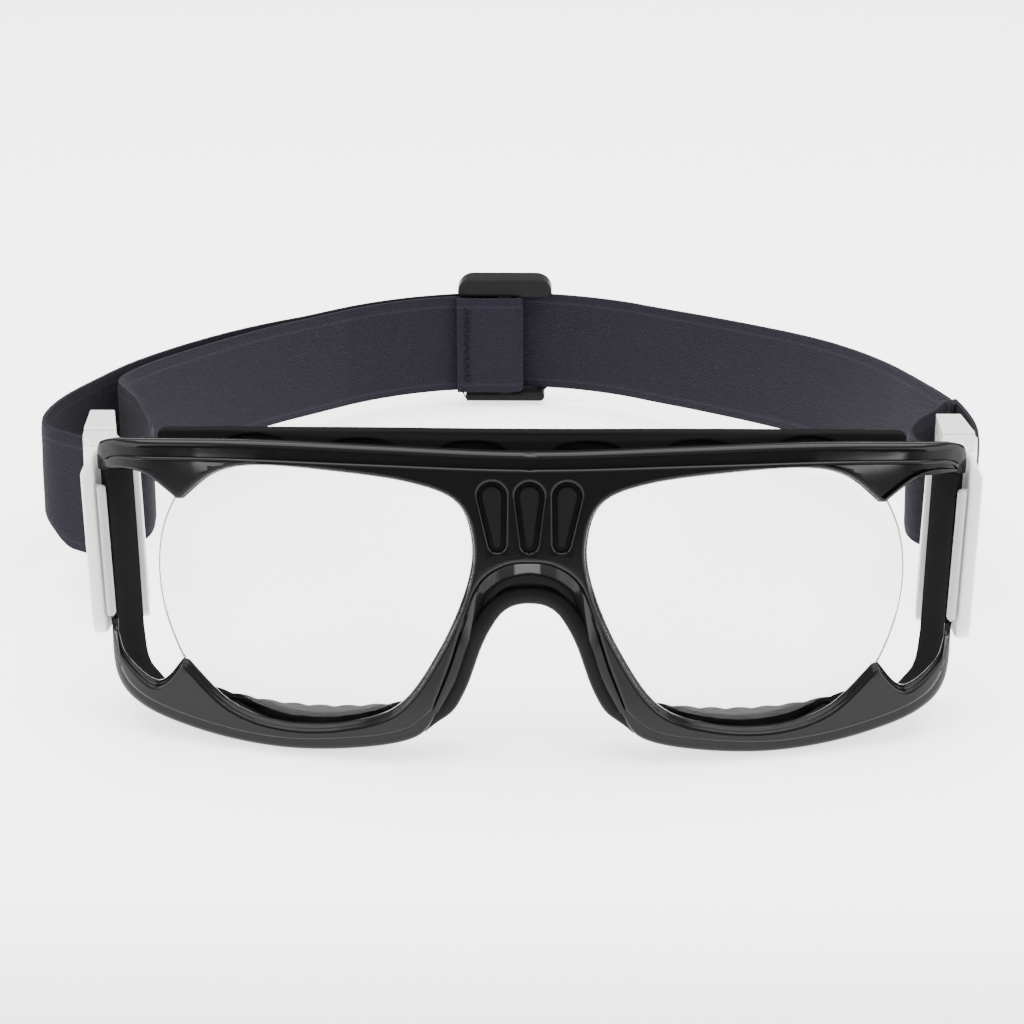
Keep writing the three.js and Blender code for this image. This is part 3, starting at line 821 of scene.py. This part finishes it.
def webbing(line, step=1.5, lean=lean_at, place=row):
    """A flat webbing along the line. Its section is a thin rounded band, a little thinner at its edges.

    It gathers in the middle of its turns at the clips, and its lower edge lifts at the left turn.
    """
    total = sum((b - a).length for a, b in zip(line, line[1:]))
    count = max(6, round(total / step))
    section = []
    rows = 14
    for j in range(rows + 1):
        section.append((j / rows, 0.5))
    for j in range(rows, -1, -1):
        section.append((j / rows, -0.5))
    rings = []
    for i in range(count + 1):
        at = at_share(line, i / count)
        along = at_share(line, min(1, i / count + 0.004)) - at_share(line, max(0, i / count - 0.004))
        along.z = 0
        along.normalize()
        side = Vector((-along.y, along.x, 0))
        tilt = lean(at.y)
        up = Vector((0, math.sin(tilt), math.cos(tilt)))
        ring = []
        inside = smooth(74, 79, abs(at.x)) * smooth(93, 85, abs(at.x)) * smooth(100, 86, at.y)
        lift = 4.5 * smooth(97, 103, -at.x) * smooth(74, 84, at.y) * smooth(122, 104, at.y)
        for v, s in section:
            edge = min(v, 1 - v) * WEB_H
            full = 0.62 + 0.38 * smooth(0, 0.7, edge)
            bulge = 0.06 * math.sin(v * 9) * math.sin(i * 0.11)
            height = (v - 0.5) * WEB_H * (1 - 0.15 * inside) + lift * (1 - v) ** 2
            point = at + up * height + side * (s * WEB_T * full + bulge)
            ring.append(place(*point))
        rings.append(ring)
    n = len(section)

    def uv(i, j):
        v, s = section[j % n]
        return (i / count * total, v * WEB_H + (0 if s > 0 else 0.31))

    bm = bmesh.new()
    skin(bm, rings, uv=uv)
    return bm


def strap():
    """One length of webbing on a single curve, cut where it passes from one body to another."""
    back = turned(RIGHT_SIDE) + arc(ARC_TO, ARC_FROM, ARC_R, 14) + LEFT_OUTER
    turn = back[-1:] + LEFT_TURN
    inner = turn[-1:] + LEFT_INNER + [on_arc(ARC_FROM, ARC_R - LAYER)]
    slide = inner[-1:] + arc(ARC_FROM, -14.3, ARC_R - LAYER, 12)[1:]
    whole = spline([Vector(p) for p in back + turn[1:] + inner[1:] + slide[1:]], 12)
    cut = 0
    pieces = {}
    for name, points in (("back", back), ("turn", turn), ("inner", inner), ("slide", slide)):
        length = (len(points) - 1) * 12
        pieces[name] = webbing(whole[cut:cut + length + 1])
        cut += length
    pieces["loop"] = webbing(spline([Vector(p) for p in RIGHT_LOOP], 12))
    piece(pieces["inner"], "strap_inner", WEBBING, "frame", ["strap_take_up"], "webbing", weighted=False)
    for name, body, node, start, end in (
        ("back", "clip_right", "strap_main", (90.5, 119, 22), (90.5, 80, 22)),
        ("slide", "slider", "strap_slack", on_arc(ARC_FROM, ARC_R), on_arc(-15, ARC_R)),
        ("turn", "clip_left", "strap_turn_left", (-96, 119, 22), (-96, 80, 22)),
        ("loop", "clip_right", "strap_loop_right", (90.5, 119, 22), (90.5, 80, 22)),
    ):
        obj = finished(pieces[name], "strap_" + name, WEBBING, weighted=False)
        row(*start)
        row(*end)
        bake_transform(obj)
        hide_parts(node)


def stitch_row(bm, place, radius=0.22):
    """Adds a zigzag row of thread stitches."""
    for i in range(STITCHES):
        v = mix(-TACK_WIDTH / 2, TACK_WIDTH / 2, (i + 0.5) / STITCHES)
        a, b = (-STITCH_REACH, STITCH_REACH) if i % 2 else (STITCH_REACH, -STITCH_REACH)
        half = TACK_WIDTH / STITCHES * 0.55
        rings = []
        for k in range(7):
            t = k / 6
            lift = math.sin(t * math.pi) * radius * 1.2
            size = radius * (0.35 + 0.65 * math.sin(math.pi * min(1, max(0, 0.1 + 0.8 * t))))
            centre = (mix(a, b, t), v + mix(-half, half, t), lift)
            ring = []
            for m in range(6):
                angle = m * math.pi / 3
                u, w = centre[0] + size * math.cos(angle), centre[2] + size * math.sin(angle)
                ring.append(place(u, centre[1], w))
            rings.append(ring)
        skin(bm, rings)


# ---------- slider ----------
def on_slider(x, y, z):
    return row(ARC_X + x, ARC_Y + ARC_R + y, z)


def flat(x, z, y):
    """A point of a slider plate, which is thick in y."""
    return on_slider(x, y, z)


def slider():
    """A rounded rim round the strap's slot, thick rails above and below, and the bar in the middle."""
    bm = bmesh.new()
    half = BUCKLE_W / 2
    edge = BACK_Z + WEB_H / 2 + 0.5
    rail = rounded_box(-half, half, edge - 0.6, BUCKLE_TOP + 0.7, (1.5, 1.5, 3.9, 3.9), 7)
    plate(bm, rail, [], BUCKLE_FRONT, BUCKLE_REAR, 1.35, flat, rounds=7)
    low = rounded_box(-half + 1.8, half - 1.8, BUCKLE_LOW, 2 * BACK_Z - edge, (1.2, 1.2, 1.2, 1.2), 5)
    plate(bm, low, [], BUCKLE_FRONT, BUCKLE_REAR, 1.0, flat, rounds=6)
    rim = rounded_box(-half, half, BUCKLE_LOW, BUCKLE_TOP, (5.2, 5.2, 4.6, 4.6), 10)
    slot = rounded_box(-half + BUCKLE_BAR, half - BUCKLE_BAR, 3.7, edge, 1.4, 6)
    plate(bm, rim, [slot], 1.1, 2.85, 0.7, flat, rounds=5)
    bar = rounded_box(-BUCKLE_BAR / 2, BUCKLE_BAR / 2, 2.2, 32, 0.6, 3)
    plate(bm, bar, [], -4.1, -2.7, 0.5, flat, step=3)
    piece(bm, "buckle", SATIN, "slider", ["slider"], "buckle_black", sharp=50)


END_LOOP = [
    (-16.2, -4.1), (-12, -3.35), (-7, -2.25), (-2.6, -1.65), (1.5, -1.65), (3.4, -2.1), (4.1, -3.35),
    (3.4, -4.6), (1.5, -5.1), (-3, -5.2), (-8, -5.25), (-12.2, -5.3),
]


def strap_end():
    points = [(x, y, BACK_Z) for x, y in END_LOOP]
    bm = webbing(spline([Vector(p) for p in points], 12), 0.8, lambda y: 0, place=on_slider)
    piece(bm, "strap_end", WEBBING, "slider", ["strap_end_loop"], "webbing", weighted=False)


def tacks():
    """The stitches of the slider's flap, with one loose thread, and those of the right loop."""
    bm = bmesh.new()
    stitch_row(bm, lambda u, v, w: on_slider(FLAP_STITCH_X + u, -FLAP_FACE - w, BACK_Z + v))
    tail = spline([(-10.4, -5.9, 5), (-10.6, -6.2, 4.2), (-10.1, -6.1, 3.2), (-9.5, -5.6, 1.9)], 6)
    round_thread = [(0.2 * math.cos(k * math.pi / 3), 0.2 * math.sin(k * math.pi / 3)) for k in range(6)]
    skin(bm, [[on_slider(p.x + x, p.y + y, p.z) for x, y in round_thread] for p in tail])
    piece(bm, "buckle_stitches", THREAD, "slider", ["slider_tack"], "thread")
    bm = bmesh.new()
    for y in LOOP_STITCHES:
        def place(u, v, w):
            outward = 92.75 + (LOOP_STITCHES[0] - y) * 0.12 + w - u * 0.1
            return row(outward, y + u + v * math.sin(LEAN), 24 + v * math.cos(LEAN))

        stitch_row(bm, place)
    obj = finished(bm, "loop_stitches", THREAD)
    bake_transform(obj)
    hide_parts("loop_tack_right")


# ---------- stage ----------
def surroundings(tree):
    """White above and behind the goggles, dark in front of them."""
    place = tree.nodes.new("ShaderNodeTexCoord")
    axes = tree.nodes.new("ShaderNodeSeparateXYZ")
    tree.links.new(place.outputs["Generated"], axes.inputs["Vector"])
    parts = [
        smooth_span(tree, axes.outputs[axis], low, high, 0.07, most)
        for axis, low, high, most in (("Z", 0.15, 0.6, 1), ("Y", 0.3, 0.9, 0.3))
    ]
    larger = tree.nodes.new("ShaderNodeMath")
    larger.operation = "MAXIMUM"
    for source, target in zip(parts, larger.inputs):
        tree.links.new(source, target)
    tree.links.new(larger.outputs[0], tree.nodes["Background"].inputs["Color"])
    tree.nodes["Background"].inputs["Strength"].default_value = 1.3


def glowing_floor():
    """A white sweep, lit through from below except for its front edge."""
    material = plain("floor_white", (0.9, 0.9, 0.9), 0.7)
    tree = material.node_tree
    place = tree.nodes.new("ShaderNodeNewGeometry")
    axes = tree.nodes.new("ShaderNodeSeparateXYZ")
    tree.links.new(place.outputs["Position"], axes.inputs["Vector"])
    shader = tree.nodes["Principled BSDF"]
    glow = smooth_span(tree, axes.outputs["Y"], ORIGIN.y - 0.1, ORIGIN.y - 0.03, 0.1, 1.9)
    white = smooth_span(tree, axes.outputs["Y"], ORIGIN.y - 0.4, ORIGIN.y - 0.12, 0.05, 0.9)
    tree.links.new(white, shader.inputs["Base Color"])
    shader.inputs["Emission Color"].default_value = (1, 1, 1, 1)
    tree.links.new(glow, shader.inputs["Emission Strength"])
    return material


def softbox(name, where, size, power, toward=(0, 0, 0.03)):
    """A rectangular lamp. where and toward are measured from the middle of the goggles, in metres."""
    light = bpy.data.lights.new(name, "AREA")
    light.shape = "RECTANGLE"
    light.size, light.size_y = size
    light.energy = power
    lamp = bpy.data.objects.new(name, light)
    centre = ORIGIN + Vector((0, 104, 0)) * MM
    lamp.location = centre + Vector(where)
    aim = centre + Vector(toward) - lamp.location
    lamp.rotation_euler = aim.to_track_quat("-Z", "Y").to_euler()
    lamp.visible_camera = False
    bpy.context.scene.collection.objects.link(lamp)


def stage():
    mesh = bpy.data.meshes.new("floor")
    x, y0, y1 = 2.4, ORIGIN.y - 2.4, ORIGIN.y + 2.4
    mesh.from_pydata([(-x, y0, 0), (x, y0, 0), (x, y1, 0), (-x, y1, 0)], [], [(0, 1, 2, 3)])
    mesh.materials.append(glowing_floor())
    floor = bpy.data.objects.new("floor", mesh)
    bpy.context.scene.collection.objects.link(floor)

    world = bpy.data.worlds.new("studio")
    world.use_nodes = True
    surroundings(world.node_tree)
    bpy.context.scene.world = world

    softbox("overhead", (0, 0.1, 1.1), (1.4, 1.2), 38)
    for side, hand in (("left", -1), ("right", 1)):
        softbox(side + "_card", (0.85 * hand, -0.3, 0.22), (0.8, 0.9), 13)
    for side, hand in (("left", -1), ("right", 1)):
        toward = (0.056 * hand, -0.09, 0.056)
        softbox(side + "_strip", (0.287 * hand, -0.412, 0.0092), (0.057, 0.0034), 0.013, toward)


def camera():
    """The photograph's view: 22 degrees above the horizon, 450 mm from the middle of the front."""
    aim = row(0, 0, 51.4)
    elevation, azimuth, distance = math.radians(22), math.radians(0.8), 0.45
    level = math.cos(elevation)
    back = Vector((math.sin(azimuth) * level, -math.cos(azimuth) * level, math.sin(elevation)))
    lens = bpy.data.cameras.new("camera")
    lens.sensor_width = 36
    lens.lens = lens.sensor_width * FOCAL_SHARE
    lens.shift_x = -17 / 1024
    lens.clip_start = 0.01
    eye = bpy.data.objects.new("camera", lens)
    eye.location = aim + back * distance
    eye.rotation_euler = (-back).to_track_quat("-Z", "Y").to_euler()
    bpy.context.scene.collection.objects.link(eye)
    bpy.context.scene.camera = eye


camera()
stage()
front_frame()
bridge_inlays()
lenses()
brow_liner()
cheek_liners()
nose_saddle()
side_clips()
strap()
slider()
strap_end()
tacks()
